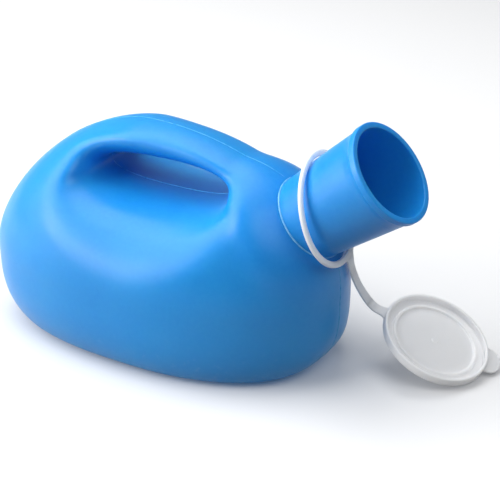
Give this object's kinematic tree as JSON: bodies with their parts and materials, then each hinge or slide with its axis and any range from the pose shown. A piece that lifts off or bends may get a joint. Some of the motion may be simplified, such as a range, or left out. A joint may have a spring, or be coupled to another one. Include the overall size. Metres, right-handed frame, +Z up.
{
  "type": "urine bottle",
  "caption": "Portable lying urine bottle with an egg-shaped body, a through hand-hole and handle bar, a flared slanting spout and a tethered press-on lid.",
  "frame": {"origin": "middle of the flat base that the bottle lies on", "axes": "+Z up, +X along the bottle towards the spout, Y = 0 is the body's mould parting plane"},
  "size_m": [0.3097, 0.1398, 0.1543],
  "materials": {
    "blue_polyethylene": "satin blow-moulded polyethylene",
    "white_closure": "milky soft polyethylene, slightly translucent"
  },
  "bodies": {
    "bottle": {"bottle_shell": "blue_polyethylene"},
    "ring": {"neck_ring": "white_closure"},
    "strap_upper": {"strap_upper": "white_closure"},
    "strap_lower": {"strap_lower": "white_closure"},
    "lid": {"lid_cap": "white_closure", "pull_tab": "white_closure"}
  },
  "joints": [
    {"name": "ring_swing", "type": "hinge", "parent": "bottle", "child": "ring", "pos_m": [0.0877, -0.00073, 0.12957], "axis": [0, -1, 0], "range_deg": [0, 20.01]},
    {"name": "lid_lift", "type": "hinge", "parent": "ring", "child": "strap_upper", "pos_m": [0.10628, 0.00917, 0.06942], "axis": [0.1502, -0.9235, -0.3531], "range_deg": [0, 80.98]},
    {"name": "strap_bend", "type": "hinge", "parent": "strap_upper", "child": "strap_lower", "pos_m": [0.10872, 0.0184, 0.04802], "axis": [0.2681, -0.9294, -0.2538], "range_deg": [0, 19.59]},
    {"name": "lid_tilt", "type": "hinge", "parent": "strap_lower", "child": "lid", "pos_m": [0.12148, 0.0262, 0.03145], "axis": [0.283, -0.9304, -0.2329], "range_deg": [0, 34.49]}
  ],
  "couplings": [
    {"joint": "ring_swing", "follows": "lid_lift", "ratio": 0.24697},
    {"joint": "strap_bend", "follows": "lid_lift", "ratio": 0.24182},
    {"joint": "lid_tilt", "follows": "lid_lift", "ratio": 0.42581}
  ]
}
